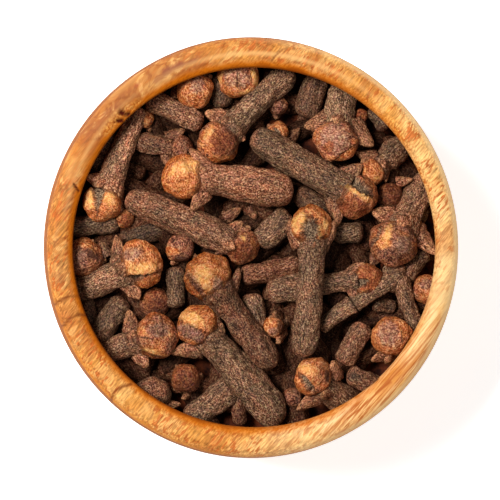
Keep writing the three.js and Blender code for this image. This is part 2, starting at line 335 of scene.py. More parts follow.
# A knot with an open heart in the inner edge at the back left, and two small wormholes.
stipple = ripple(bowl_points, 0.5, 8)
knot = np.clip(line(1.0, (-17.43, 13.73), (-16.34, 15.21), (-14.76, 16.39), (-13.58, 17.08))
               * (0.75 + 0.4 * stipple), 0, 1)
crumbled = np.clip(0.8 + 0.6 * ripple(bowl_points, 0.8, 9), 0, 1.4)
heart = line(0.5, (-15.66, 16.05), (-14.85, 15.75)) + line(0.32, (-16.37, 14.96), (-15.5, 15.04))
wormholes = line(0.24, (-21.23, 7.46), (-21.03, 7.21)) + line(0.24, (-20.93, 7.06), (-20.64, 6.67))
hole = np.clip(1.7 * heart * crumbled + wormholes, 0, 1)
# Dark ring lines that cross the lip, short flecks, a split at the front right, an eye, clouded
# figure and glowing patches round the knot, and pale and dark streaks along the grain. Each row is
# a line's strength, its width and its places.
lip_marks = dict(
    knot=knot, hole=hole,
    ring_line=lines(
        (1, 0.32, (-23.45, -6.71), (-22.66, -6.12), (-21.97, -5.83)),
        (0.7, 0.26, (-21.97, -5.83), (-20.69, -5.73)),
        (1, 0.33, (-22.56, -9.28), (-21.67, -8.39), (-20.79, -7.9), (-20, -8)),
        (1, 0.33, (-16.84, -18.17), (-16.54, -17.08), (-15.55, -16.49), (-14.47, -16.19)),
        (0.8, 0.17, (-12.29, -20.34), (-11.8, -19.65)),
        (0.9, 0.19, (2.12, 22.12), (2.52, 22.61), (3.6, 23.6)), (0.4, 0.12, (2.22, 22.02), (3.51, 21.23)),
        (0.5, 0.2, (-17.03, 16.98), (-16.05, 17.58), (-14.76, 17.87)),
        (0.35, 0.2, (-20.69, 12.05), (-19.5, 12.74), (-18.12, 12.94)),
        (0.5, 0.16, (-23.65, 0.59), (-22.96, 1.09), (-22.27, 1.09)),
        (0.55, 0.2, (-23.16, -2.07), (-22.86, -1.58)), (0.55, 0.26, (-22.96, -2.96), (-22.56, -2.47)),
        (0.55, 0.2, (-22.66, -2.37), (-22.37, -1.88)), (0.55, 0.2, (-22.96, -0.89), (-22.66, -0.39))),
    split=lines((1, 0.22, (14.86, -15.6), (13.28, -16.79))),
    eye=lines(
        (1, 0.4, (-13.87, 19.16), (-13.68, 19.26)),
        (0.35, 0.16, (-14.27, 18.47), (-13.58, 18.17), (-13.08, 18.66))),
    figure=lines(
        (1, 0.7, (-18.32, 14.02), (-17.53, 15.5)), (0.8, 0.35, (-18.12, 14.71), (-17.92, 13.82)),
        (0.8, 0.75, (-16.6, 14.7), (-14.6, 16.4)), (0.5, 0.7, (-17.33, 16), (-15.65, 16.79)),
        (0.5, 1.2, (-19.9, 13.73), (-18.91, 14.61)), (0.7, 0.6, (-11.5, 19.65), (-10.22, 20.74)),
        (1, 0.7, (-10.42, 20.84), (-8.64, 21.63)), (0.6, 0.4, (-8.64, 21.63), (-6.86, 22.12)),
        (0.5, 0.4, (-7.26, 21.92), (-6.47, 22.61)), (0.5, 0.8, (-22.27, 4.54), (-21.67, 5.73)),
        (0.4, 0.4, (-20.98, 4.84), (-20, 5.23))),
    glow=lines(
        (0.8, 1.1, (-16.93, 18.17), (-13.78, 20.64)), (0.6, 0.7, (-11.8, 18.96), (-9.43, 19.95)),
        (0.6, 0.9, (-21.87, 8.49), (-21.28, 10.27)), (0.7, 0.6, (-4.79, 21.53), (2.12, 22.12))),
    pale_streak=lines(
        (1, 0.62, (21.58, -7.8), (20.29, -9.97), (17.82, -12.74), (13.87, -16.49), (10.91, -19.35),
         (8.15, -21.63)),
        (0.6, 0.3, (20.98, -12.44), (17.82, -15.4), (14.37, -19.16)),
        (0.5, 0.3, (12.1, -19.95), (9.43, -22.02))),
    dark_streak=lines(
        (1, 0.2, (23.06, -7.5), (21.28, -10.07), (18.81, -13.13), (15.65, -16.39), (12.89, -18.96),
         (11.11, -20.34)),
        (0.7, 0.3, (12.39, -18.37), (10.42, -20.34), (8.44, -22.32)),
        (0.6, 0.16, (21.97, -10.86), (19.6, -13.43), (17.82, -15.21)),
        (0.6, 0.2, (18.81, -16), (16.84, -17.97)), (0.8, 0.24, (16.34, -16), (14.66, -17.18)),
        (0.8, 0.22, (9.73, -22.32), (10.91, -21.63)), (0.5, 0.16, (15.26, -17.97), (12.69, -20.34))))
lip_marks = {name: values * on_lip for name, values in lip_marks.items()}
bowl_points[:, 2] -= (0.3 * lip_marks["hole"] + 0.1 * lip_marks["knot"] * np.abs(stipple)
                      + 0.05 * lip_marks["split"] + 0.03 * lip_marks["ring_line"])
bowl_points = np.vstack([bowl_points, [(0, 0, 0), (0, 0, FLOOR_THICKNESS)]])
layers = dict(tone=tone, flecked=flecked, streaky=streaky, burn=burn, scorch=scorch, burn_line=burn_line,
              outer=outer, shaded=shaded, pale_edge=pale_edge, ridge=ridge, walls=walls, **lip_marks)
layers = {name: np.r_[values, 0, 0] for name, values in layers.items()}

wood, shader, here = new_material("oiled_wood", Specular_IOR_Level=0.06)
coords = here.node("ShaderNodeTexCoord", {}, {}, 3)
along_grain = coords.node("ShaderNodeMapping", {}, {"Vector": coords, "Rotation": (0, 0, -GRAIN_ANGLE),
                                                    "Scale": (1 / MM, 1 / MM, 1 / MM)})
cloudy = along_grain.stretched(0.35, 1, 1).noise(4.0, 3, 0.6, 0.6)
vessels = along_grain.stretched(0.12, 1, 1).noise(0.2, 2, 0.6)
fleck = along_grain.stretched(0.25, 1, 1).noise(0.36, 1, 0.5)
curls = along_grain.stretched(0.5, 1, 1).noise(1.6, 2, 0.6, 1.5)
groups = along_grain.noise(2.6, 1, 0.5)
long_streak = along_grain.stretched(0.035, 1, 1).noise(0.7, 3, 0.65)
fine_streak = along_grain.stretched(0.05, 1, 1).noise(0.24, 2, 0.6)
pale, flecks, streaks = here.held("tone"), here.held("flecked"), here.held("streaky")
calm = pale.above(0.6, 0.1)
lined = 1 + 2.2 * flecks * (vessels - 0.5)
plain = pale.colour((0.0, "#b0703a"), (0.35, "#ba7434"), (0.6, "#d28c3e"), (1.0, "#edc184"))
grained = plain.washed(
    ("#a65e30", cloudy.above(0.5, 0.36) * 0.5),
    ("#e6ae68", cloudy.above(0.52, 0.66) * 0.55),
    ("#93502a", curls.above(0.5, 0.4) * curls.above(0.3, 0.4) * calm * 0.7),
    ("#ecb46e", curls.above(0.53, 0.63) * calm * 0.6),
    ("#f7c880", vessels.above(0.5, 0.6) * flecks * pale.above(0.3, 1.2) * 0.5),
    ("#b65f28", fleck.above(0.52, 0.58) * groups.above(0.4, 0.52) * flecks * 0.9))
streaked = grained.lit(lined, lined, lined).washed(
    ("#f6c67e", long_streak.above(0.5, 0.62) * streaks * 0.7),
    ("#c98041", long_streak.above(0.49, 0.36) * streaks * 0.9),
    ("#b05f26", fine_streak.above(0.52, 0.57) * streaks * 0.85),
    ("#f8cd92", here.held("pale_streak") * (0.85 - fine_streak.above(0.45, 0.6) * 0.6)),
    ("#a9561f", here.held("dark_streak") * (0.5 + fine_streak)),
    ("#e2a75f", here.held("glow") * 0.6),
    ("#8c4e38", here.held("figure") * cloudy.above(0.25, 0.55) * 0.85))
# The walls show the rings of the tree, round its middle line below the bowl.
from_middle = along_grain.node("ShaderNodeMapping", {}, {"Vector": along_grain, "Location": (0, -5, 16)})
rings = from_middle.node("ShaderNodeTexWave",
                         {"wave_type": "RINGS", "rings_direction": "X", "wave_profile": "SAW"},
                         {"Vector": from_middle, "Scale": 0.16, "Distortion": 3.0, "Detail": 2.0,
                          "Detail Scale": 0.8}, 1)
dim = 1.05 - 0.16 * rings.above(0.2, 1.0) + 0.6 * (vessels - 0.5) + 0.3 * (long_streak - 0.5)
knotty = along_grain.noise(0.3, 2, 0.6).colour((0.42, "#9a4a12"), (0.56, "#e6a450"))
oiled = streaked.washed(
    (plain.lit(dim, dim * dim, dim * dim), here.held("walls") * 0.9),
    # painted light on the lip's outer edge at the right
    ("#ffd79a", here.held("pale_edge") * 0.75),
    # painted highlight along the inner crest of the lip
    ("#efb873", here.held("ridge") * 0.6),
    ("#cc7812", here.held("outer") * 0.75),
    # painted shade on the lip's outermost edge and on the walls
    ("#8e4a16", here.held("shaded") * 0.75),
    # scorching and painted shade on the inner edge of the lip
    ("#c96a08", here.held("burn") * 0.95),
    ("#8c3c04", here.held("scorch") * 0.85),
    ("#a04c0a", here.held("burn") * vessels.above(0.52, 0.38) * 0.6),
    ("#8a4010", here.held("burn_line") * 0.3),
    ("#743612", here.held("ring_line") * 0.9),
    ("#a04d2a", here.held("eye") * 0.85),
    (knotty, here.held("knot") * 0.6),
    ("#4a2410", here.held("split")),
    ("#4a1206", here.held("hole")))
feed(shader, Base_Color=oiled, Normal=(vessels + fine_streak * 0.5).relief(0.2, 0.06),
     Roughness=0.5 + 0.15 * vessels + 0.3 * here.held("shaded"))

bowl = make_piece("turned_bowl", bowl_points, closed_faces(len(section), BOWL_SIDES), wood, layers)
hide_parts("bowl")
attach(bowl, "root")

# ---------------------------------------------------------------------------------------------
# The whole cloves. Dried flower buds: a stem that is a little flattened and thickest towards its
# blunt end, four thick lobes where it meets the bud, and a ball of four petals folded shut.
# They lie loose on one another, as they were poured.

CLEARANCE = 0.12                    # between the cloves and the wood
ROUNDED = 0.86                      # how far along a lobe its rounded tip starts
draw = np.random.default_rng(20)    # for every random choice from here on, in order


class Heap:
    """Gathers the points, faces and values of many like things that become one mesh."""

    def __init__(self):
        self.points, self.faces, self.layers, self.count = [], [], {}, 0

    def add(self, points, faces, **layers):
        self.points.append(points)
        self.faces.extend([k + self.count for k in face] for face in faces)
        for layer, values in layers.items():
            shape = (len(points), 3) if layer == "skin" else (len(points),)
            self.layers.setdefault(layer, []).append(np.broadcast_to(values, shape))
        self.count += len(points)

    def piece(self, name, material):
        layers = {layer: np.concatenate(values) for layer, values in self.layers.items()}
        piece = make_piece(name, np.vstack(self.points), self.faces, material, layers)
        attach(piece, "root")
        return piece


def swept(stations, half_width, half_height, sides, squareness=0.0, crowding=0.0):
    """A closed tube along X: its points, ring by ring, and its faces. Crowding draws the points
    together on its upper side."""
    angle = np.linspace(0, 2 * math.pi, sides, endpoint=False)
    angle = angle + crowding * np.cos(angle)
    corner = 1 + squareness * np.cos(4 * angle)
    points = np.column_stack([np.repeat(stations, sides),
                              np.outer(half_width, np.cos(angle) * corner).ravel(),
                              np.outer(half_height, np.sin(angle) * corner).ravel()])
    ends = [(stations[0], 0, 0), (stations[-1], 0, 0)]
    return np.vstack([points, ends]), closed_faces(len(stations), sides)


def in_fours(count):
    """The next number of sides down that is a multiple of four."""
    return int(count) // 4 * 4


def frame_along(start, end, roll=0.0):
    """Rows: the way from start to end, the level way across it, and the way up; turned by roll."""
    way = np.subtract(end, start)
    way = way / np.linalg.norm(way)
    across = np.cross((0, 0, 1), way)
    across = across / np.linalg.norm(across) if np.linalg.norm(across) > 1e-3 else np.array([0, 1, 0])
    up = np.cross(way, across)
    c, s = math.cos(roll), math.sin(roll)
    return np.array([way, c * across + s * up, c * up - s * across])


lining = np.vstack([wall[::-1], under_lip[::-1], curl[::-1], [(CROWN_RADIUS + 5, HEIGHT + 5)]])


def tucked(points):
    """Keeps points clear of the wood: what would reach the wall or the lip is drawn inwards."""
    points = points - (*HOLLOW_SHIFT, 0)
    radius = np.linalg.norm(points[:, :2], axis=1)
    limit = np.interp(points[:, 2], lining[:, 1], lining[:, 0] - CLEARANCE)
    shrink = np.minimum(1, limit / np.maximum(radius, 1e-6))
    return points * np.column_stack([shrink, shrink, np.ones(len(points))]) + (*HOLLOW_SHIFT, 0)


def placed(points):
    """Each point's place in the pattern of its skin, which starts somewhere else on each thing."""
    return points + draw.uniform(-90, 90, 3)


def weathered(points, skin, start, end, half, bend):
    """A tube that lies along X laid between two places, a little bent, with the lumps and the
    lengthwise wrinkles of dried skin. Half is half its width: thin stems have smaller lumps."""
    length = math.dist(start, end)
    points[:, 1] += draw.normal(0, bend) * np.sin(math.pi * np.clip(points[:, 0] / length, 0, 1))
    normal = points * (0, 1, 1)
    normal /= np.maximum(np.linalg.norm(normal, axis=1, keepdims=True), 0.05)
    lumps = (0.09 * ripple(skin * (0.6, 1, 1), 1.9, draw.integers(1e6))
             + 0.05 * ripple(skin * (0.35, 1, 1), 0.7, draw.integers(1e6)))
    points = points + normal * (lumps * min(1, half / 1.4))[:, None]
    return tucked(points @ frame_along(start, end, draw.uniform(-0.3, 0.3)) + np.array(start))


def stem(end, head, bud, neck, body, red, light, detail):
    """The stem of a clove, from its blunt end to the cup that holds the bud."""
    length, half = math.dist(end, head), body / 2
    cup = length - 0.58 * bud
    stations = np.unique(np.r_[half * np.array([0, 0.03, 0.1, 0.22, 0.4, 0.65, 1.0]),
                               np.linspace(half, cup, int(46 * detail))])
    # Half the width from the blunt end to the cup, each after how far along it is.
    sizes = [(0, 0.12 * half), (0.1 * half, 0.5 * half), (0.45 * half, 0.83 * half), (half, 0.96 * half),
             (0.32 * length, half), (0.55 * length, 0.6 * half + 0.2 * neck),
             (max(0.6 * length, length - 2.6 * bud), neck / 2), (length - 1.8 * bud, neck / 2),
             (length - 1.3 * bud, 0.25 * neck + 0.36 * bud),
             (length - 0.85 * bud, max(neck / 2, 0.8 * bud)), (cup, 0.79 * bud)]
    profile = np.interp(stations, *zip(*sizes))
    for _ in range(2):
        profile = np.convolve(np.r_[profile[0], profile, profile[-1]], (0.25, 0.5, 0.25), "valid")
    flat = np.interp(stations, [0, 0.6 * length, length], [0.8, 0.84, 0.95])
    points, faces = swept(stations, profile, profile * flat, in_fours(36 * detail), 0.03)
    skin = placed(points)
    at_end = smoothstep(0.6 * half, 0, points[:, 0])
    stems.add(weathered(points, skin, end, head, half, 0.18), faces, skin=skin, red=red + 0.4 * at_end,
              light=light, tip=0.0)


def lobe(heap, root, middle, tip, out, width, red, light, detail=1.0):
    """One thick blunt lobe, bent from its root through a middle point to its tip."""
    root, middle, tip = np.array(root), np.array(middle), np.array(tip)
    length, sides = math.dist(root, tip), in_fours(18 * detail)
    width = min(width, 0.75 * length)
    share = np.unique(np.r_[np.linspace(0, ROUNDED, int(11 * detail)),
                            ROUNDED + (1 - ROUNDED) * np.sin(np.linspace(0, 1.57, 6))])
    back, bend, forth = (1 - share) ** 2, 2 * share * (1 - share), share ** 2
    curve = back[:, None] * root + bend[:, None] * middle + forth[:, None] * tip
    rounding = np.sqrt(np.clip(1 - (np.clip(share - ROUNDED, 0, 1) / (1 - ROUNDED)) ** 2, 0, 1))
    profile = np.interp(share, [0, 0.3, 0.6, ROUNDED, 1], [1.35, 1.15, 0.82, 0.45, draw.uniform(0.15, 0.3)])
    half_width = 0.44 * width * profile * rounding + 0.03
    half_height = (0.2 + 0.13 * width) * (1.25 - 0.7 * share) * rounding + 0.03
    points, faces = swept(share, half_width, half_height, sides, 0.1)
    tangent = np.gradient(curve, axis=0)
    tangent /= np.linalg.norm(tangent, axis=1, keepdims=True)
    side = np.cross(tangent, out)
    side /= np.linalg.norm(side, axis=1, keepdims=True)
    thick = np.cross(side, tangent)
    ring = np.r_[np.repeat(np.arange(len(share)), sides), 0, len(share) - 1]
    skin = placed(points * (length, 1, 1))
    bumps = 0.05 * ripple(skin, 0.9, draw.integers(1e6))
    world = (curve[ring] + side[ring] * (points[:, 1] * (1 + bumps))[:, None]
             + thick[ring] * (points[:, 2] + bumps * rounding[ring])[:, None])
    share = share[ring]
    at_rim = smoothstep(0.7, 1.0, np.abs(points[:, 1]) / half_width[ring]) * smoothstep(0.1, 0.5, share)
    heap.add(tucked(world), faces, skin=skin, red=red + 0.3 + 0.4 * share, light=light + 0.25 * share,
             tip=np.maximum(smoothstep(0.35, 0.95, share), 0.7 * at_rim))


# How soft the outline of each kind of mark is. Orange, red, brown, grey and cream are worn skin,
# shade is painted shade on the bud, and dark is painted shade in a crease. Torn is cream with a sharp
# outline, a pit is the hollow left by a petal, and a wedge is a pit with straight sides. An edge, which
# isn't among them, is the step where one petal laps another, with painted shade below it.
SOFTNESS = {"pit": 0.12, "wedge": 0.12, "torn": 0.15, "cream": 0.7, "orange": 0.5, "red": 0.3, "brown": 0.3,
            "grey": 0.3, "dark": 0.3, "shade": 0.3}
SHOWN_AS = {"wedge": "pit", "torn": "cream"}


def bud_ball(end, head, bud, orange, light, turn, marks, shape, detail):
    """The ball of folded petals, lapped over one another. A mark is a kind, its place from the
    middle of the bud as seen from above, its half length and half width, and its turn."""
    slope = np.linspace(0.02, math.pi - 0.02, int(58 * detail))
    points, faces = swept(-np.cos(slope), np.sin(slope), np.sin(slope), in_fours(76 * detail), crowding=0.4)
    skin = placed(points * bud)
    away = (points * (shape[0], shape[1], 1)) @ frame_along(end, head) * bud
    above = smoothstep(-0.25, 0.1, away[:, 2] / bud)
    torn = ripple(skin, 0.5, draw.integers(1e6))
    values = {kind: np.zeros(len(points)) for kind in SOFTNESS if kind not in SHOWN_AS}
    size = 1 + 0.04 * ripple(skin, 2.4, draw.integers(1e6)) + 0.01 * ripple(skin, 0.7, draw.integers(1e6))

    def add_mark(kind, strength):
        values[kind] = np.maximum(values[kind], strength * above)

    for kind, x, y, half_length, half_width, angle in marks:
        c, s = math.cos(math.radians(angle)), math.sin(math.radians(angle))
        u = (away[:, 0] - x) * c + (away[:, 1] - y) * s
        v = (away[:, 1] - y) * c - (away[:, 0] - x) * s
        if kind == "edge":
            v = v + 0.1 * torn
            near = smoothstep(half_length, 0.6 * half_length, np.abs(u))
            size += 0.09 * smoothstep(-0.09, 0.09, v) * near * above
            # Painted shade below the step.
            add_mark("dark", 0.8 * smoothstep(0.16, 0, np.abs(v + 0.1)))
            continue
        if kind == "wedge":
            far = np.abs(u / half_length) + np.abs(v / half_width) + 0.12 * torn
        else:
            far = np.sqrt((u / half_length) ** 2 + (v / half_width) ** 2) + 0.16 * torn
        shown = SHOWN_AS.get(kind, kind)
        if shown == "pit":
            # Painted shade round the rim of the pit.
            add_mark("dark", smoothstep(0.2, 0.02, np.abs(far - 1.1)))
        add_mark(shown, smoothstep(1 + SOFTNESS[kind], 1 - SOFTNESS[kind], far))
    along, angle = points[:, 0], np.arctan2(points[:, 2], points[:, 1]) + math.radians(turn)
    # Painted shade where the bud sits down among its lobes.
    crevice = smoothstep(-0.4, -0.54, along + 0.04 * torn)
    values["dark"] = np.maximum(values["dark"], 0.75 * crevice)
    lap = np.sin(2 * angle + 1.3 * along)
    groove = smoothstep(0.16, 0.0, np.abs(lap)) * smoothstep(-0.7, 0.2, along)
    size += 0.03 * smoothstep(-0.2, 0.2, lap) * smoothstep(-0.9, 0, along)
    size += 0.035 * np.cos(4 * angle) * (1 - along ** 2) + shape[2] * smoothstep(0.7, 1.0, along) ** 2
    size -= 0.02 * groove + 0.22 * values["pit"]
    # Deeper amber low on the sides of the bud, round it as seen from above: partly the petals' own colour
    # towards their base, partly painted shade.
    rim = smoothstep(0.7, 0.1, away[:, 2] / bud + 0.25 * ripple(skin, 1.8, draw.integers(1e6)))
    strength = np.clip(orange + 0.15 * ripple(skin, 2.5, draw.integers(1e6)), 0, 1)
    strength = np.maximum(strength, values.pop("orange")) * (1 - values.pop("brown"))
    # The shade marks take light from the bud: painted shade.
    buds.add(tucked(away * size[:, None] + np.array(head)), faces, skin=skin, orange=strength,
             light=light - values.pop("shade"), groove=groove, rim=rim, **values)


def clove(head, end, bud, neck, body, red, light, orange, turn, lobes, marks, shape=(0.96, 1.0, 0.03),
          detail=1.0):
    """A clove: middle of the bud, end of the stem, radius of the bud, width of the stem at its neck
    and in its body; how red and light the stem is and how orange the bud; the turn of its petals;
    the tips of the lobes that were set out (from the middle of the bud, with their width); the
    marks on the bud; the bud's size along and across the clove, and how pointed it is; and the
    share of a whole clove's points that it gets. Lobes that weren't set out take the free sides."""
    head, end = np.array(head), np.array(end)
    along, across, up = frame_along(end, head)
    stem(end, head, bud, neck, body, red, light, detail)
    places = [(np.array(tip), width) for *tip, width in lobes]
    taken = [math.atan2(tip @ up, tip @ across) for tip, width in places]
    while len(places) < 4:
        spare = max(np.radians(np.arange(-180, 180, 15)) + math.radians(turn),
                    key=lambda a: min([abs(math.remainder(a - b, 2 * math.pi)) for b in taken] or [0]))
        out = math.cos(spare) * across + math.sin(spare) * up
        tip = out * bud * draw.uniform(1.15, 1.4) - along * bud * draw.uniform(0.3, 0.6)
        places.append((tip, 0.65 * bud))
        taken.append(spare)
    for tip, width in places:
        out = tip - along * (tip @ along)
        out /= np.linalg.norm(out)
        reach = tip @ out
        root = head - along * bud + out * min(0.5 * bud, 0.7 * reach)
        middle = head + along * (0.5 * (tip @ along) - 0.45 * bud) + out * min(1.08 * bud, reach)
        facing = 0.6 * out + (0, 0, 1)
        lobe(lobes_heap, root, middle, head + tip, facing / np.linalg.norm(facing), width, max(red, 0.1),
             min(light, 0.3), detail)
    bud_ball(end, head, bud, orange, light, turn, marks, shape, detail)


def dried_skin(name, brightness, redness, sheen):
    """The dull, finely wrinkled brown skin of stems and lobes."""
    material, shader, here = new_material(name, Roughness=0.55, Specular_IOR_Level=sheen)
    skin = here.held_vector("skin")
    grain = skin.noise(0.165, 3, 0.62) * 0.6 + skin.stretched(0.4, 1, 1).noise(0.14, 2, 0.6) * 0.4
    wrinkle = skin.stretched(0.5, 1, 1).noise(0.55, 2, 0.6)
    tints = skin.stretched(0.8, 1, 1).noise(0.35, 2, 0.7, output=1)
    blotch = skin.stretched(0.6, 1, 1).noise(1.5, 2, 0.6)
    brown = grain.colour((0.4, "#28180f"), (0.465, "#5b3f2d"), (0.535, "#876146"), (0.61, "#c09c78"))
    redder = grain.colour((0.4, "#301509"), (0.465, "#6e3c27"), (0.535, "#9d6143"), (0.61, "#d09b75"))
    base = brown.washed(
        (redder, (here.held("red") * 0.9 + 1.4 * (blotch - 0.46) + redness).above(0.0, 1.0)),
        ("#c98e60", here.held("tip") * (0.1 + 0.9 * grain.above(0.42, 0.58)) * 0.6))
    bright = (brightness + 0.5 * here.held("light")) * (1 + 1.7 * (wrinkle - 0.5) + 1.1 * (blotch - 0.5))
    feed(shader, Base_Color=base.mixed(tints, 0.3, "OVERLAY").lit(bright, bright, bright),
         Normal=(grain * 0.5 + wrinkle).relief(1.0, 0.3))
    return material


bark = dried_skin("dried_stem", 0.82, 0.1, 0.1)

petal, shader, here = new_material("folded_petals", Roughness=0.4, Specular_IOR_Level=0.14)
skin = here.held_vector("skin")
crinkle = skin.stretched(1.25, 0.8, 0.8).noise(0.18, 3, 0.65)
folds = skin.stretched(1.6, 0.7, 0.7).noise(0.6, 2, 0.6, 0.5)
tints = skin.noise(0.5, 2, 0.7, output=1)
blotch = skin.noise(1.6, 2, 0.6)
speckle = crinkle * 0.75 + folds * 0.25
brown = speckle.colour((0.42, "#3c1c13"), (0.5, "#864b33"), (0.58, "#c88a68"))
golden = speckle.colour((0.41, "#8e3e14"), (0.5, "#cd723c"), (0.59, "#f8ae74"))
amber = speckle.colour((0.41, "#702b0c"), (0.5, "#b0551c"), (0.6, "#da8542"))
dusty = speckle.colour((0.41, "#613a2d"), (0.5, "#96644d"), (0.59, "#cb9c7c"))
russet = speckle.colour((0.4, "#5b1f0e"), (0.5, "#8c4525"), (0.61, "#c07346"))
cream = speckle.colour((0.38, "#d58543"), (0.5, "#f2ac62"), (0.62, "#fecb89"))
hollow = speckle.colour((0.42, "#2a1a10"), (0.51, "#735640"), (0.6, "#b89a78"))
# A bud's light carries its shade marks, which are painted shade.
bright = 0.95 + 0.3 * here.held("light")
base = brown.washed(
    (golden, (here.held("orange") + 1.3 * (blotch - 0.5)).above(0.1, 0.9)),
    # painted shade and the petals' own deeper orange low on the bud
    (amber, here.held("rim") * (0.3 + 0.7 * here.held("orange")) * 0.8),
    (dusty, here.held("grey") * 0.85),
    (russet, here.held("red") * 0.85),
    (cream, here.held("cream") * 0.95))
base = base.mixed(tints, 0.35, "OVERLAY").washed(
    # painted shade in creases
    ("#3d1f12", here.held("dark") * 0.85),
    (hollow, here.held("pit")),
    ("#4a2413", here.held("groove") * 0.45))
feed(shader, Base_Color=base.lit(bright, bright, bright), Normal=(crinkle * 0.6 + folds).relief(1.0, 0.36))

stems, lobes_heap, buds = Heap(), Heap(), Heap()

# Deep among the others, so that only the bud and the lobes show.
clove((-11.5, -6.6, 21.6), (-10.9, -9.0, 18.5), 1.8, 1.9, 2.2, 0.5, -0.5, 0.1, 20, [],
      [("red", 0, 0.2, 1.4, 1.4, 0), ("orange", -1.3, 0.5, 0.4, 0.9, 80),
       ("shade", 0.4, -0.5, 1.5, 1.2, 0)], detail=0.6)
clove((3.2, 17.0, 21.4), (3.0, 15.5, 18.5), 1.2, 1.6, 1.8, 0.5, -0.8, 0.3, 0, [], [], detail=0.5)
clove((-12.7, 15.4, 21.6), (-12.1, 14.0, 18.5), 1.15, 1.4, 1.7, 0.7, -0.6, 1.0, 0, [],
      [("orange", 0, 0, 1.5, 1.5, 0)], detail=0.5)
clove((-15.2, 3.5, 22.1), (-14.6, 2.3, 18.5), 1.2, 1.4, 1.7, 0.9, -0.6, 0.9, 0, [],
      [("red", 0.3, -0.2, 1, 0.8, 0)], detail=0.5)
clove((13.2, 15.8, 21.6), (13.5, 14.4, 18.5), 0.8, 1.0, 1.3, 0.9, -0.6, 0.9, 0, [],
      [("red", 0, 0, 0.9, 0.7, 0)], detail=0.5)
clove((16.6, 6.2, 21.8), (17.4, 4.2, 19.0), 1.6, 1.8, 2.0, 0.8, -0.6, 0.2, 0,
      [(-1.2, -1.2, 0.9, 1.3)],
      [("red", 0, 0, 1.6, 1.6, 0), ("shade", 0, 0, 1.6, 1.6, 0), ("orange", 0.8, 0.9, 0.6, 0.3, 0)],
       detail=0.6)
clove((5.0, -17.9, 21.3), (6.1, -19.3, 18.5), 1.2, 1.4, 1.7, 0.3, -0.6, 0.1, 0, [], [], detail=0.5)
clove((-7.8, -15.6, 22.0), (-6.4, -17.6, 18.5), 1.8, 2.0, 2.4, 0.8, -0.5, 0.0, 0,
      [(1.7, 0.6, 0.2, 1), (-1.2, 1.6, 0.4, 0.8)],
      [("red", 0, 0, 1.9, 1.9, 0), ("orange", 0.3, 1.3, 1.2, 0.45, -10), ("orange", -1.3, 0, 0.35, 1.2, 0),
       ("orange", 1.1, 0.3, 0.4, 0.9, 10), ("shade", 0.2, -0.6, 1.6, 1.5, 0)], detail=0.6)
clove((20.9, -5.0, 22.0), (21.5, -6.4, 18.5), 1.7, 1.9, 2.4, 0.5, -0.4, 0.6, 0, [],
      [("grey", 0, 0.6, 1, 0.6, 0), ("orange", -0.1, -0.8, 0.5, 0.8, 70)], detail=0.6)
clove((-20.0, -1.1, 22.2), (-21.0, -2.8, 18.5), 2.3, 2.6, 3.1, 0.5, -0.2, 0.35, 0,
      [(1.1, 2, 0.8, 1.7), (2.6, -0.2, 0.3, 1.6), (1.4, 1.2, 1.2, 1.2)],
      [("orange", 0, 1.6, 1.1, 0.7, 0), ("grey", -0.5, 0.2, 0.8, 1, 0), ("dark", 1, 0.2, 0.4, 1, 50)],
       detail=0.7)
clove((3.2, 13.9, 22.6), (3.0, 12.6, 19.5), 1.2, 1.4, 1.7, 0.5, -0.4, 0.9, 0,
      [(-1.1, 0.8, 0.3, 1)],
      [("pit", -0.2, 0, 0.6, 0.2, -40)], detail=0.6)
clove((-8.5, 0.0, 22.8), (-7.3, -1.8, 19.0), 1.7, 1.9, 2.2, 0.3, 0.0, 0.1, 0,
      [(-1.1, -1.9, 0.2, 1.1)],
      [("orange", -1.1, -0.4, 0.5, 1, 70), ("dark", 0.1, -1.4, 1, 0.4, 0)], detail=0.7)
clove((-6.8, 18.7, 23.0), (-7.8, 20.5, 19.5), 2.2, 2.4, 2.9, 0.4, 0.2, 0.85, 0, [],
      [("grey", 0.2, 0.7, 0.9, 1.1, 0)], detail=0.8)
clove((-1.6, 20.3, 22.4), (-1.1, 21.2, 18.5), 2.5, 2.9, 3.5, 0.4, 0.55, 0.9, 0, [],
      [("grey", -0.2, 0, 1.6, 1.4, 0), ("dark", -0.2, -0.4, 0.1, 1.2, 0), ("torn", -2.1, 0, 0.25, 1.2, -15),
       ("torn", 2, -0.1, 0.35, 1.3, 15), ("cream", 0.9, -1.8, 0.9, 0.25, 15)], detail=0.8)
clove((2.6, -9.5, 22.6), (4.4, -8.5, 20.5), 1.3, 1.7, 2.0, 0.3, 0.0, 0.7, 0,
      [(0, 1.8, 1, 1.4), (0.5, -2, 0.6, 1.6), (-0.6, 1, 0.6, 0.8)],
      [("grey", 0, -0.5, 0.6, 0.5, 0), ("dark", 0.8, -0.1, 0.4, 1, 10)], detail=0.7)

# The cloves that lie whole, from the bottom of the heap to its top.
clove((-8.5, 11.8, 22.4), (-14.3, 12.8, 21.6), 1.6, 2.4, 2.5, 0.6, -0.4, 0.15, 30,
      [(0.5, 2.3, 0.6, 1.7), (-1.7, -2, 0.4, 1.4), (-1, 1, 1.2, 1.6)], [], detail=0.8)
clove((14.4, 9.1, 22.8), (18.5, 12.8, 21.0), 1.6, 2.9, 3.2, 0.2, -0.1, 0.8, 45,
      [(-2, 2.3, -0.2, 1.7), (-1.4, 1, 0.8, 1.2)],
      [("cream", 0.6, -0.8, 0.4, 0.2, 0)], detail=0.8)
clove((13.8, -3.8, 22.9), (1.8, -5.3, 22.3), 1.9, 2.2, 3.4, 0.15, 0.0, 0.75, 20,
      [(-1.3, -2.5, 0.5, 1.4), (-0.2, 1.8, 0.3, 1.3), (-1.2, 1.1, 1, 1.2)],
      [("pit", -0.8, -0.4, 0.8, 0.5, 10), ("red", 0.3, 0.3, 1.3, 1.5, 0),
       ("orange", 0.5, 0.9, 0.8, 0.4, -30), ("dark", -0.1, -1.7, 1.2, 0.4, 10)])
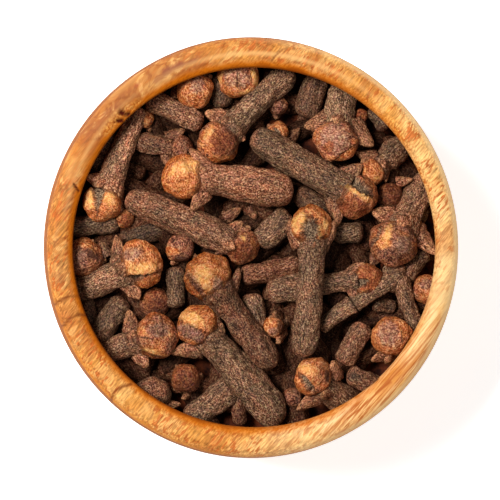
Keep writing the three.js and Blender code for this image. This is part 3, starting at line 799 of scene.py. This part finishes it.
clove((-1.2, 0.1, 23.6), (-15.0, 6.0, 23.2), 2.0, 3.7, 3.5, 0.45, 0.05, 0.3, 0,
      [(0.1, 3, 0.6, 2), (-3.2, -0.8, -0.5, 1.4), (1.1, 2.2, 0.4, 1.4)],
      [("orange", 1.3, 0.2, 0.4, 1, 10), ("cream", 0.1, 1, 0.4, 0.2, -60), ("red", -0.3, -0.5, 1.7, 1.2, 0),
       ("shade", 0.4, -0.6, 1.6, 1.3, 0)])
clove((-17.8, 5.4, 23.4), (-13.3, 16.7, 22.2), 2.3, 3.1, 2.5, 0.35, 0.75, 0.85, 30,
      [(-1.9, 3, 0.6, 1.6), (2, -2.9, -0.8, 1.3), (1.8, 0.6, 0.9, 1.7), (-0.6, 1.7, 1.6, 1.1)],
      [("torn", -1.6, 0.7, 0.45, 1.4, 4), ("cream", 0.7, 0.5, 0.65, 0.8, 20),
       ("wedge", -0.5, 1.9, 0.85, 3.1, -3), ("orange", 0.4, -1.7, 1.6, 0.5, 0),
       ("shade", 0.6, -2, 2, 0.6, 10)])
clove((-13.2, -2.0, 23.8), (-21.2, -5.4, 21.2), 2.4, 3.2, 3.4, 0.15, 0.4, 0.75, 0,
      [(-3, 3.5, 0.2, 1.8), (-0.2, -4.2, -0.4, 2), (-1.2, 0, 1.9, 1.8)],
      [("edge", 0.5, -1.2, 4.8, 0.5, 16), ("cream", 0.1, -0.45, 1.5, 0.5, 12),
       ("grey", -1.1, 1.1, 1, 0.7, 20), ("wedge", -1.1, -1.75, 2.2, 0.55, 13),
       ("orange", 0.9, -1.9, 1.2, 0.6, 14)], (0.93, 1.14, 0.03))
clove((-11.5, -10.6, 23.7), (-18.5, -12.8, 21.0), 2.6, 2.9, 3.0, 0.3, 0.1, 0.4, 15,
      [(-3.2, 3.2, 0.2, 1.8), (-0.9, -3.6, 0.2, 2), (-2.4, 0.6, 1.3, 1.6)],
      [("orange", -1.9, 0.6, 0.5, 1.4, 80), ("orange", -0.6, -1.6, 1.7, 0.7, -8),
       ("cream", -0.7, -1.7, 1.1, 0.25, -10), ("grey", 0.3, 0.8, 1.3, 0.8, 0),
       ("dark", -1.1, -0.1, 0.9, 0.1, -8), ("dark", -0.2, -2.2, 1, 0.12, -8),
       ("shade", 0.5, 0.7, 1.2, 0.8, 0)])
clove((-4.0, 12.6, 23.7), (5.0, 21.2, 21.9), 2.5, 3.0, 3.1, 0.1, 0.18, 0.3, 35,
      [(-1.6, 3.5, 0.2, 2.2), (3.1, 0.1, 0.2, 1.9), (0.3, 2.2, 1.6, 2.2)],
      [("orange", -1.5, 0.6, 1.3, 0.5, 65), ("cream", -1.2, 1, 0.8, 0.25, 62),
       ("orange", -1.4, -1, 1.5, 0.25, -48), ("orange", 0.2, -2, 1.6, 0.5, 5), ("red", 0.3, 0, 1.4, 1.4, 0),
       ("shade", 0.9, -0.4, 1.4, 1.6, 0)])
clove((10.1, 12.7, 23.7), (11.4, 20.3, 20.5), 2.5, 3.5, 3.5, -0.5, 0.8, 0.3, 0,
      [(-3.9, 1.7, 0, 2.2), (4.4, -0.6, 0.1, 2.9), (-0.1, 1.9, 1.7, 2.4)],
      [("grey", -0.4, 0.1, 1.7, 1.6, 0), ("orange", 1.1, -1.6, 1.6, 0.4, 35),
       ("orange", 2.2, -0.1, 0.3, 1.2, 85), ("red", -1.1, -0.8, 0.8, 0.6, 30),
       ("edge", 0.9, -1.1, 2.4, 0.5, 35)])
clove((16.9, 0.6, 23.8), (21.2, 8.8, 20.5), 2.8, 3.5, 3.5, 0.35, 0.3, 0.2, 10,
      [(-2.6, 3.7, 0.2, 2.1), (5.2, -1.4, -0.2, 2.4), (0.6, 1.3, 1.9, 2)],
      [("cream", -0.9, 0.9, 0.4, 1.2, -20), ("orange", -1.3, 0.1, 0.9, 1, 0),
       ("orange", 2.1, -0.2, 0.3, 1, 80), ("grey", 1, -0.3, 1, 1, 0), ("pit", -2.15, 0.7, 0.16, 1.3, -22),
       ("brown", 0, -1.6, 2.2, 0.8, 0), ("shade", 0.1, -1.5, 2.6, 1.1, 5), ("shade", 1.6, 0, 1.3, 1.6, 0)])
clove((7.4, -15.4, 23.6), (12.6, -19.1, 20.6), 2.3, 3.4, 3.5, 0.3, 0.15, 0.6, 0,
      [(-2, -4, -0.4, 1.9), (2.2, 1.9, 0.7, 2), (0.8, -1.9, 1.5, 2)],
      [("pit", -0.9, -0.75, 1.3, 0.36, -52), ("orange", -1.6, -1.1, 1, 0.5, -60),
       ("orange", -0.8, 0.8, 1.5, 0.9, 0), ("cream", -0.9, 0.9, 1, 0.5, -20),
       ("dark", 1.5, 0.1, 0.35, 0.8, 0), ("shade", 1.2, 0.4, 1.4, 1.6, 0)])
clove((16.7, -10.6, 23.2), (18.1, -13.6, 19.0), 2.35, 3.2, 3.4, 0.3, 0.3, 0.7, 20,
      [(-2.4, -2.9, -0.2, 1.4), (-0.7, -2.8, 0.9, 1.7)],
      [("grey", -0.4, 0.4, 1.2, 1.5, 0), ("orange", 1.6, 0.2, 0.4, 1.4, 85),
       ("dark", 1.1, 0.1, 0.08, 1.1, 4), ("orange", -1.7, -0.8, 0.6, 1.2, 60)])
clove((-6.5, -9.4, 23.9), (3.5, -21.0, 22.2), 2.4, 3.7, 4.4, 0.12, 0.0, 0.8, 15,
      [(-3.2, -3.2, -0.2, 2.2), (1.4, 2.6, 0.4, 1.5), (2.7, 0.4, 0.3, 1.5), (1.2, -1.9, 1.3, 1.8)],
      [("cream", -0.7, 0.9, 1.2, 0.6, -25), ("orange", 1.2, 0.4, 0.5, 1.4, 0),
       ("brown", -0.9, -0.7, 1.7, 0.8, -28), ("grey", -0.9, -0.7, 1.5, 0.7, -28),
       ("orange", -1.4, -1.6, 1, 0.4, -35), ("edge", -0.6, 0.1, 2.6, 0.5, -28)])
clove((-5.2, -3.5, 24.3), (2.6, -14.3, 23.6), 2.8, 3.0, 3.4, 0.5, -0.55, 1.0, 5,
      [(3.6, 1.1, -0.2, 1.2), (-0.2, -2.2, 1.7, 1.2), (0.9, -1.2, 2, 1.8)],
      [("orange", -0.6, 1.3, 1.6, 1.2, 30), ("cream", -0.7, 0.3, 1, 0.95, -20),
       ("cream", -0.3, -0.7, 0.4, 0.9, 15), ("orange", 2, 1, 0.5, 1.4, -35),
       ("brown", -1.6, -0.7, 0.5, 1.8, 35), ("shade", -1.6, -1, 0.4, 1.6, 35),
       ("grey", 1, -0.8, 0.6, 0.9, 0)])
clove((12.5, 6.1, 24.2), (0.0, 13.4, 24.0), 2.4, 3.6, 3.7, 0.1, -0.12, 0.4, 0,
      [(-2.4, -3.6, -0.4, 2.2), (0.6, 3.8, 0.2, 2), (-1.9, 1.1, 1.7, 1.8)],
      [("pit", 0.2, 1.25, 1.75, 0.62, -35), ("torn", 0, 0.5, 1.8, 0.4, -30),
       ("orange", 1, -0.2, 1.3, 0.6, -27), ("cream", 0.7, 0.05, 0.9, 0.35, -27),
       ("red", -0.3, -1.2, 1.9, 0.9, -15), ("edge", 0, 0.8, 2, 0.5, -207)])
clove((-7.95, 8.35, 24.1), (4.9, 6.5, 24.3), 2.6, 3.6, 4.6, 0.7, 0.5, 1.0, 5,
      [(0.4, 3.4, 1, 1.6), (0.7, -4, 0.9, 1.8), (1.7, 1, 1.8, 1.8)],
      [("cream", 0.4, 1.3, 1.3, 0.75, 12), ("cream", -1.5, 0.9, 0.8, 0.3, 60)], (1.0, 1.0, 0.03))
clove((7.1, 2.5, 25.4), (6.0, -13.0, 24.8), 2.4, 3.0, 3.2, 0.15, -0.08, 1.0, 0,
      [(-2.75, 0.9, 0.2, 1.7), (2.6, 0.8, 0.3, 1.6), (0.2, -1.7, 1.6, 2.2), (1.6, 1.6, 0, 0.8)],
      [("torn", -1.45, 0.55, 0.65, 1.1, -15), ("torn", 0.8, -0.6, 0.2, 1, 4),
       ("pit", -0.3, -0.45, 0.95, 1.45, -8), ("orange", 1.4, 0.2, 0.7, 1.3, 10),
       ("cream", 1.5, 0.2, 0.3, 0.7, 10), ("dark", -0.7, 1.2, 0.15, 0.12, 0),
       ("dark", 1.6, 1, 0.16, 0.14, 0), ("dark", 1.1, -1.3, 0.4, 0.2, -10),
       ("edge", -0.7, 0, 1.5, 0.5, 100)], (1.03, 0.94, 0.03))
clove_stems = stems.piece("clove_stems", bark)
lobes_heap.piece("clove_lobes", bark)
buds.piece("clove_buds", petal)
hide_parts("cloves")

# ---------------------------------------------------------------------------------------------
# Bare stems. Cloves whose buds have rubbed off in the sack, the arms and joint of a forked stalk,
# one stem on its end, and lobes that have broken off.

JOINT_SWELL, JOINT_LENGTH = 0.16, 0.4
GROOVE_DEPTH, GROOVE_LENGTH = 0.36, 0.13

# One end, the other end, the width, how red and how light, and how far along a joint is.
BARE = [
    ((-16.7, 13.7, 21.4), (-18.7, 9.2, 21.2), 1.8, 0.0, -0.4),
    ((-15.7, 0.8, 21.2), (-10.3, 2.3, 21.0), 2.6, 0.1, -0.9),
    ((8.0, 20.5, 21.2), (6.5, 15.5, 22.0), 3.0, 0.2, -0.6),
    ((14.5, 16.9, 21.2), (16.3, 14.2, 21.8), 2.2, 0.1, -0.6),
    ((14.5, -6.8, 21.6), (17.4, -7.2, 21.2), 1.7, 0.3, -0.6),
    ((-19.6, -6.1, 21.2), (-19.0, -9.6, 21.2), 1.7, 0.3, -0.8),
    ((-1.3, -17.4, 21.4), (-1.3, -21.2, 20.8), 1.8, 1.0, -0.7),
    ((-4.2, 20.5, 21.4), (-3.2, 16.7, 21.8), 2.4, 0.0, -0.5),
    ((-15.2, -6.1, 22.2), (-18.6, -10.8, 21.9), 2.8, 0.0, -0.4),
    ((-7.6, -20.8, 20.9), (-1.9, -16.4, 21.6), 3.2, 0.1, 0.0),
    ((-21.7, 2.5, 22.2), (-15.8, 3.0, 22.2), 2.5, 0.0, -0.5),
    ((20.9, -0.4, 22.0), (18.2, -4.0, 22.0), 2.2, 0.2, -0.4),
    ((11.5, -15.0, 22.2), (16.0, -16.9, 21.4), 2.4, 0.4, -0.2),
    ((13.6, -9.1, 22.4), (10.9, -13.9, 22.4), 2.6, 0.4, 0.0),
    ((-0.1, -5.5, 22.3), (0.6, -10.0, 22.4), 2.4, 0.1, -0.1),
    ((-1.2, -3.4, 22.6), (5.9, -2.0, 22.0), 2.5, 1.0, -0.3),
    ((-9.1, -2.3, 22.6), (-9.0, -7.2, 22.2), 2.3, 0.0, -0.4),
    ((4.4, 4.2, 23.0), (0.6, 0.5, 22.8), 3.1, 0.1, 0.0),
    ((9.7, 1.8, 22.6), (13.4, 1.8, 22.4), 2.4, 0.1, -0.3),
    ((5.3, 6.6, 22.3), (9.6, 4.2, 22.2), 2.6, 0.3, -0.6),
    ((16.8, 4.7, 21.9), (21.2, 3.8, 21.4), 2.2, 0.0, -0.3),
    ((-12.4, 17.6, 22.2), (-5.9, 14.6, 23.4), 2.5, 0.4, 0.1),
    ((18.1, -3.0, 23.3), (8.0, -9.5, 23.0), 2.0, 0.1, 0.1, 7.0),
    ((17.8, -3.4, 23.3), (20.0, -10.4, 22.4), 1.9, 0.2, 0.0),
    ((17.6, -1.9, 22.6), (16.9, -5.4, 22.4), 2.9, 0.2, -0.2),
    ((-11.3, -16.7, 23.2), (-12.4, -18.8, 17.5), 4.2, 0.2, 0.0),
]

# Root, tip and width of the broken lobes, how red and how light.
BROKEN = [
    ((-3.1, 3.5, 21.6), (-1.2, 4.7, 22.0), 1.4, 1.0, -0.4),
    ((-0.2, 4.8, 21.6), (0.6, 3.4, 21.8), 1.4, 1.4, -0.4),
    ((17.4, 7.8, 22.0), (19.4, 8.2, 22.0), 1.1, 2.0, 0.3),
    ((-10.9, -18.8, 20.8), (-8.4, -18.7, 21.2), 1.2, 0.0, 0.2),
    ((-18.4, -1.8, 22.4), (-17.4, 0.0, 22.0), 1.4, 0.2, -0.2),
    ((15.0, -1.0, 21.6), (14.4, -2.4, 21.8), 1.2, 0.6, -0.3),
    ((-17.2, -1.1, 22.2), (-18.1, 0.8, 21.8), 1.6, 0.0, -0.5),
    ((4.4, 12.8, 21.5), (5.9, 14.3, 21.5), 1.4, 0.8, -0.7),
]


def bare_stem(heap, start, end, width, red, light, joint=None, detail=1.0):
    """A stem without its bud, blunt at both ends; at a joint it swells to both sides of a groove."""
    length, half = math.dist(start, end), width / 2
    tip = half * np.array([0, 0.03, 0.12, 0.3, 0.6])
    stations = np.unique(np.r_[tip, np.linspace(0.9 * half, length - 0.9 * half, int(30 * detail)),
                               length - tip, [] if joint is None else joint + np.linspace(-0.7, 0.7, 29)])
    inset = np.minimum(stations, length - stations) / half
    profile = half * (0.25 + 0.75 * np.sqrt(np.clip(1 - (1 - np.clip(inset / 0.7, 0, 1)) ** 2, 0, 1)))
    if joint is not None:
        off = stations - joint
        profile = profile * (1 + JOINT_SWELL * np.exp(-(off / JOINT_LENGTH) ** 2)
                             - GROOVE_DEPTH * np.exp(-(off / GROOVE_LENGTH) ** 2))
    points, faces = swept(stations, profile, profile * 0.85, in_fours(32 * detail), 0.03)
    skin, along = placed(points), points[:, 0]
    at_end = smoothstep(0.5 * half, 0, np.minimum(along, length - along))
    in_joint = 0 if joint is None else smoothstep(0.16, 0.03, np.abs(along - joint))
    heap.add(weathered(points, skin, start, end, half, 0.15), faces, skin=skin, red=red + 0.5 * at_end,
             light=light - 1.2 * in_joint, tip=0.0)


bare = Heap()
for row in BARE:
    bare_stem(bare, *row)
bare.piece("bare_stems", bark)

scraps = Heap()
for root, tip, width, red, light in BROKEN:
    middle = (np.array(root) + tip) / 2 + (0, 0, 0.25)
    lobe(scraps, root, middle, tip, (0.1, 0.1, 1), width, red, light)
scraps.piece("broken_lobes", bark)

# ---------------------------------------------------------------------------------------------
# The cloves underneath, which fill the bowl and show only in the gaps, made dark as painted shade,
# and the mass of the heap below them, dark all over as painted shade.

DEEP_COUNT, DEEP_REACH, DEEP_LENGTH, DEEP_WIDTH = 90, 21.0, 8.5, 2.7
CORE_HEIGHT, CORE_DROP = 19.6, 1.2
CORE_INSET = 0.3                    # between the heap's sides and the hollow's
CORE_SIDES = 160
GOLDEN_ANGLE = math.pi * (3 - math.sqrt(5))

deep = Heap()
for k in range(DEEP_COUNT):
    reach = DEEP_REACH * math.sqrt((k + 0.5) / DEEP_COUNT)
    middle = np.array([reach * math.cos(k * GOLDEN_ANGLE), reach * math.sin(k * GOLDEN_ANGLE),
                       CORE_HEIGHT + 0.2 + draw.uniform(0, 1.5) - CORE_DROP * (reach / HOLLOW_RADIUS) ** 2])
    turn = draw.uniform(0, math.pi)
    half = DEEP_LENGTH / 2 * np.array([math.cos(turn), math.sin(turn), draw.normal(0, 0.08)])
    # Each is given very little light: painted shade deep in the gaps.
    bare_stem(deep, middle - half, middle + half, DEEP_WIDTH * draw.uniform(0.8, 1.15),
              draw.uniform(0.3, 1.0), draw.uniform(-1.3, -0.85), detail=0.6)
deep.piece("deep_stems", dried_skin("painted_shade_buried_stem", 0.75, 0.5, 0.03))

core_sides = arc(0, HOLLOW_HEIGHT, HOLLOW_RADIUS - CORE_INSET, HOLLOW_HEIGHT - FLOOR_THICKNESS - CORE_INSET,
                 -88, -8, 21)
core_radius = np.linspace(HOLLOW_RADIUS, 0.05, 60)
core_top = np.column_stack([core_radius, CORE_HEIGHT - CORE_DROP * (core_radius / HOLLOW_RADIUS) ** 2])
core_section = np.vstack([core_sides, core_top])
radius, angle, height = turned(core_section, CORE_SIDES)
core_points = np.column_stack([radius * np.cos(angle), radius * np.sin(angle), height])
on_top = core_points[len(core_sides) * CORE_SIDES:]
on_top[:, 2] += 0.5 * ripple(on_top, 4.0, 77, 3)
core_points = np.vstack([tucked(core_points), [(0, 0, core_sides[0, 1]), (0, 0, CORE_HEIGHT)]])

# The core's dark colour is painted shade.
packed, shader, here = new_material("painted_shade_packed_cloves", Roughness=0.9, Specular_IOR_Level=0.1)
coords = here.node("ShaderNodeTexCoord", {}, {}, 3).stretched(1 / MM, 1 / MM, 1 / MM)
feed(shader, Base_Color=coords.noise(1.2, 3, 0.6).colour((0.35, "#200c07"), (0.65, "#5e2a14")))
heap_core = make_piece("heap_core", core_points, closed_faces(len(core_section), CORE_SIDES), packed, {})
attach(heap_core, "root")

# ---------------------------------------------------------------------------------------------
# The studio: a pale floor, soft light from the upper left, and a camera almost straight above.

FLOOR_REACH = 3.0                   # in metres, like the places and sizes of the lights
CAMERA_HEIGHT = 0.6
CAMERA_LEAN = math.radians(2.7)     # the camera stands a little to the left
AIM = np.array([-0.03, -0.29, 19.5]) * MM
FRAME_WIDTH = 60.0 * MM             # what the camera takes in across the level that it is aimed at
SENSOR_WIDTH = 36.0

floor_mesh = bpy.data.meshes.new("floor")
corners = [(FLOOR_REACH * x, FLOOR_REACH * y, 0) for x, y in ((-1, -1), (1, -1), (1, 1), (-1, 1))]
floor_mesh.from_pydata(corners, [], [(0, 1, 2, 3)])
floor = bpy.data.objects.new("floor", floor_mesh)
bpy.context.scene.collection.objects.link(floor)
floor_paint, shader, here = new_material("pale_floor", Roughness=0.9, Specular_IOR_Level=0.0,
                                         Base_Color=(0.93, 0.93, 0.93, 1), Emission_Color=(1, 1, 1, 1),
                                         Emission_Strength=0.62)
floor_mesh.materials.append(floor_paint)


def softbox(name, place, size, power):
    """A square soft light that faces the bowl."""
    data = bpy.data.lights.new(name, "AREA")
    data.size, data.energy = size, power
    light = bpy.data.objects.new(name, data)
    light.location = place
    light.rotation_euler = (-light.location).to_track_quat("-Z", "Y").to_euler()
    bpy.context.scene.collection.objects.link(light)


softbox("key_light", (-0.3, 0.14, 0.6), 0.2, 7.8)
softbox("fill_light", (0.42, -0.05, 0.45), 0.6, 0.85)

world = bpy.data.worlds.new("studio")
world.use_nodes = True
world.node_tree.nodes["Background"].inputs["Color"].default_value = (1, 1, 1, 1)
world.node_tree.nodes["Background"].inputs["Strength"].default_value = 0.2
bpy.context.scene.world = world
bpy.context.scene.view_settings.view_transform = "Standard"

camera_data = bpy.data.cameras.new("camera")
camera_data.sensor_width = SENSOR_WIDTH
camera_data.lens = SENSOR_WIDTH * CAMERA_HEIGHT / FRAME_WIDTH
camera = bpy.data.objects.new("camera", camera_data)
camera.location = AIM + CAMERA_HEIGHT * np.array([-math.sin(CAMERA_LEAN), 0, math.cos(CAMERA_LEAN)])
camera.rotation_euler = (0, -CAMERA_LEAN, 0)
bpy.context.scene.collection.objects.link(camera)
bpy.context.scene.camera = camera

bpy.context.view_layer.update()
